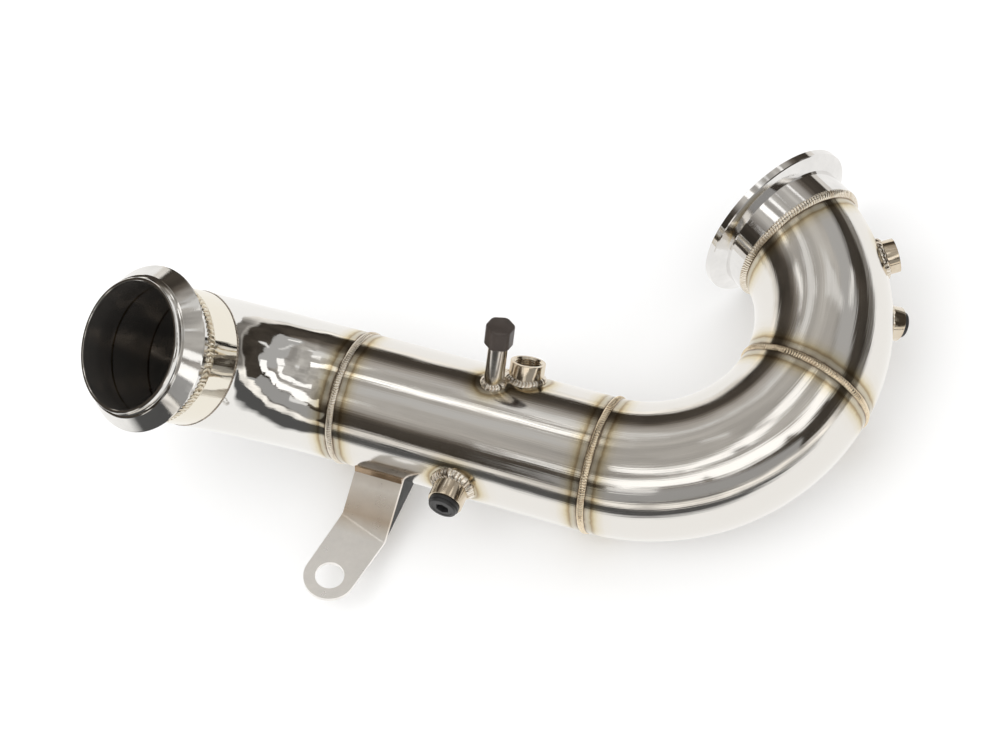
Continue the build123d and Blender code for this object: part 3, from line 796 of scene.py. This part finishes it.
# The strips of the frame: their ends in its plane, the width and the strength
LAMPS = [
    ("strip_main", (-0.47, 0.075), (-0.05, 0.065), 0.095, 1.5),
    ("strip_far", (-0.38, 0.43), (-0.14, 0.43), 0.05, 0.6),
    ("panel_left", (-0.50, 0.32), (-0.39, 0.30), 0.15, 1.1),
    ("strip_near", (-0.38, -0.20), (-0.10, -0.14), 0.16, 0.55),
    ("wide_left", (-0.27, -0.86), (0.06, -0.88), 0.26, 0.95),
    ("wide_front", (0.02, -0.93), (0.56, -0.66), 0.38, 1.3),
    ("wide_right", (0.57, -0.66), (0.92, -0.24), 0.42, 1.3),
    ("wide_end", (0.95, -0.22), (0.97, 0.16), 0.42, 1.25),
    ("ring_a", (0.02, -0.43), (0.26, -0.38), 0.11, 1.25),
    ("ring_b", (0.26, -0.38), (0.42, -0.22), 0.15, 1.25),
    ("ring_c", (0.43, -0.20), (0.39, 0.0), 0.14, 1.25),
    ("ring_d", (0.38, 0.02), (0.37, 0.22), 0.15, 1.2),
    ("front_far", (0.0, -1.28), (0.42, -1.22), 0.34, 0.85),
    ("strip_upper", (0.14, 0.42), (0.48, 0.46), 0.06, 0.75),
    ("strip_side", (0.68, 0.58), (0.80, 0.96), 0.08, 0.9),
    ("notch_a", (-0.16, 0.235), (-0.06, 0.235), 0.045, 1.2),
    ("notch_b", (0.03, 0.64), (0.15, 0.66), 0.05, 1.2),
    ("cone_a", (0.11, 0.03), (0.18, 0.06), 0.035, 0.8),
    ("cone_b", (-0.12, 0.36), (-0.03, 0.385), 0.05, 0.9),
    ("mouth", (-0.66, -0.56), (-0.44, -0.36), 0.30, 0.9),
    ("over_tab", (-0.24, 0.32), (-0.08, 0.32), 0.14, 0.75),
]
for lamp_values in LAMPS:
    bar(*lamp_values)

floor_me = bpy.data.meshes.new("floor")
floor_me.from_pydata([(-14, -14, 0), (14, -14, 0), (14, 14, 0), (-14, 14, 0)], [], [(0, 1, 2, 3)])
floor = link("floor", floor_me)
floor_mat = bpy.data.materials.new("floor")
t = shader_tree(floor_mat)
path = node(t, "ShaderNodeLightPath").outputs
y = node(t, "ShaderNodeSeparateXYZ", {0: position(t)}).outputs["Y"]
# Reflections see the bench end in front of the part
bench_edge = spread(t, y, -0.34, -0.26, 0.07, 1.0)
shine = mix_value(t, path["Is Glossy Ray"], 0.07, bench_edge)
seen = calc(t, path["Is Camera Ray"], path["Is Glossy Ray"], "MAXIMUM")
matt, dark = (node(t, "ShaderNodeBsdfDiffuse", {0: (c, c, c, 1)}).outputs[0] for c in (0.95, 0.02))
dim = node(t, "ShaderNodeMixShader", {0: path["Is Glossy Ray"], 1: matt, 2: dark}).outputs[0]
glow = node(t, "ShaderNodeEmission", {0: (1.0, 0.99, 0.97, 1), 1: calc(t, shine, seen)}).outputs[0]
both = node(t, "ShaderNodeAddShader", {0: dim, 1: glow}).outputs[0]
node(t, "ShaderNodeOutputMaterial", {0: both})
floor_me.materials.append(floor_mat)

world = bpy.data.worlds.new("studio")
bpy.context.scene.world = world
t = shader_tree(world)
path = node(t, "ShaderNodeLightPath").outputs
way = node(t, "ShaderNodeTexCoord").outputs["Generated"]
z = node(t, "ShaderNodeSeparateXYZ", {0: way}).outputs["Z"]
room = ramp(t, calc(t, calc(t, z, 1.0, "ADD"), 0.5), [
    (0.5, (0.95, 0.92, 0.87)), (0.570, (0.95, 0.92, 0.87)), (0.590, (0.050, 0.042, 0.034)),
    (0.745, (0.065, 0.055, 0.045)), (0.79, (0.15, 0.13, 0.11)), (0.83, (0.36, 0.34, 0.315)),
    (0.93, (0.50, 0.485, 0.46)), (1.0, (0.46, 0.445, 0.42))])
# The bench's backdrop is open on one side, so the horizon is dark there
facing = vector_calc(t, "DOT_PRODUCT", way, (0.766, 0.643, 0.0), out="Value")
gap = calc(t, spread(t, facing, 0.74, 0.84, 0.0, 0.85), spread(t, z, 0.12, 0.20, 1.0, 0.0))
room = mix(t, gap, room, (0.05, 0.042, 0.034, 1))
clutter = ramp(t, texture(t, way, 3.2, 3.0, 0.6), [(0.35, (0.35, 0.33, 0.31)), (0.65, (1.5, 1.48, 1.45))])
room = mix(t, 0.55, room, clutter, "MULTIPLY")
glossy = calc(t, path["Is Glossy Ray"], path["Is Transmission Ray"], "MAXIMUM")
back = node(t, "ShaderNodeBackground", {0: mix(t, glossy, (1, 1, 1, 1), room), 1: 1.0})
node(t, "ShaderNodeOutputWorld", {0: back.outputs[0]})

key = bpy.data.lights.new("key", "AREA")
key.energy, key.size = 8.0, 1.2
lamp = link("key", key)
lamp.location = (-0.6, -0.9, 1.8)
lamp.rotation_euler = (-lamp.location).to_track_quat("-Z", "Y").to_euler()
lamp.visible_glossy = False

# Camera
cam = bpy.data.cameras.new("camera")
cam.sensor_width, cam.lens, cam.clip_end = 36.0, 62.81, 50.0
camera = link("camera", cam)
right, up = Vector((0.9251441, 0.35221381, -0.14161152)), Vector((-0.24228298, 0.83501634, 0.49401079))
m = Matrix([[right[i], up[i], right.cross(up)[i]] for i in range(3)]).to_4x4()
m.translation = Vector((0.34041, -0.50606, 1.04197))
camera.matrix_world = m
bpy.context.scene.camera = camera
bpy.context.scene.view_settings.view_transform = "Standard"
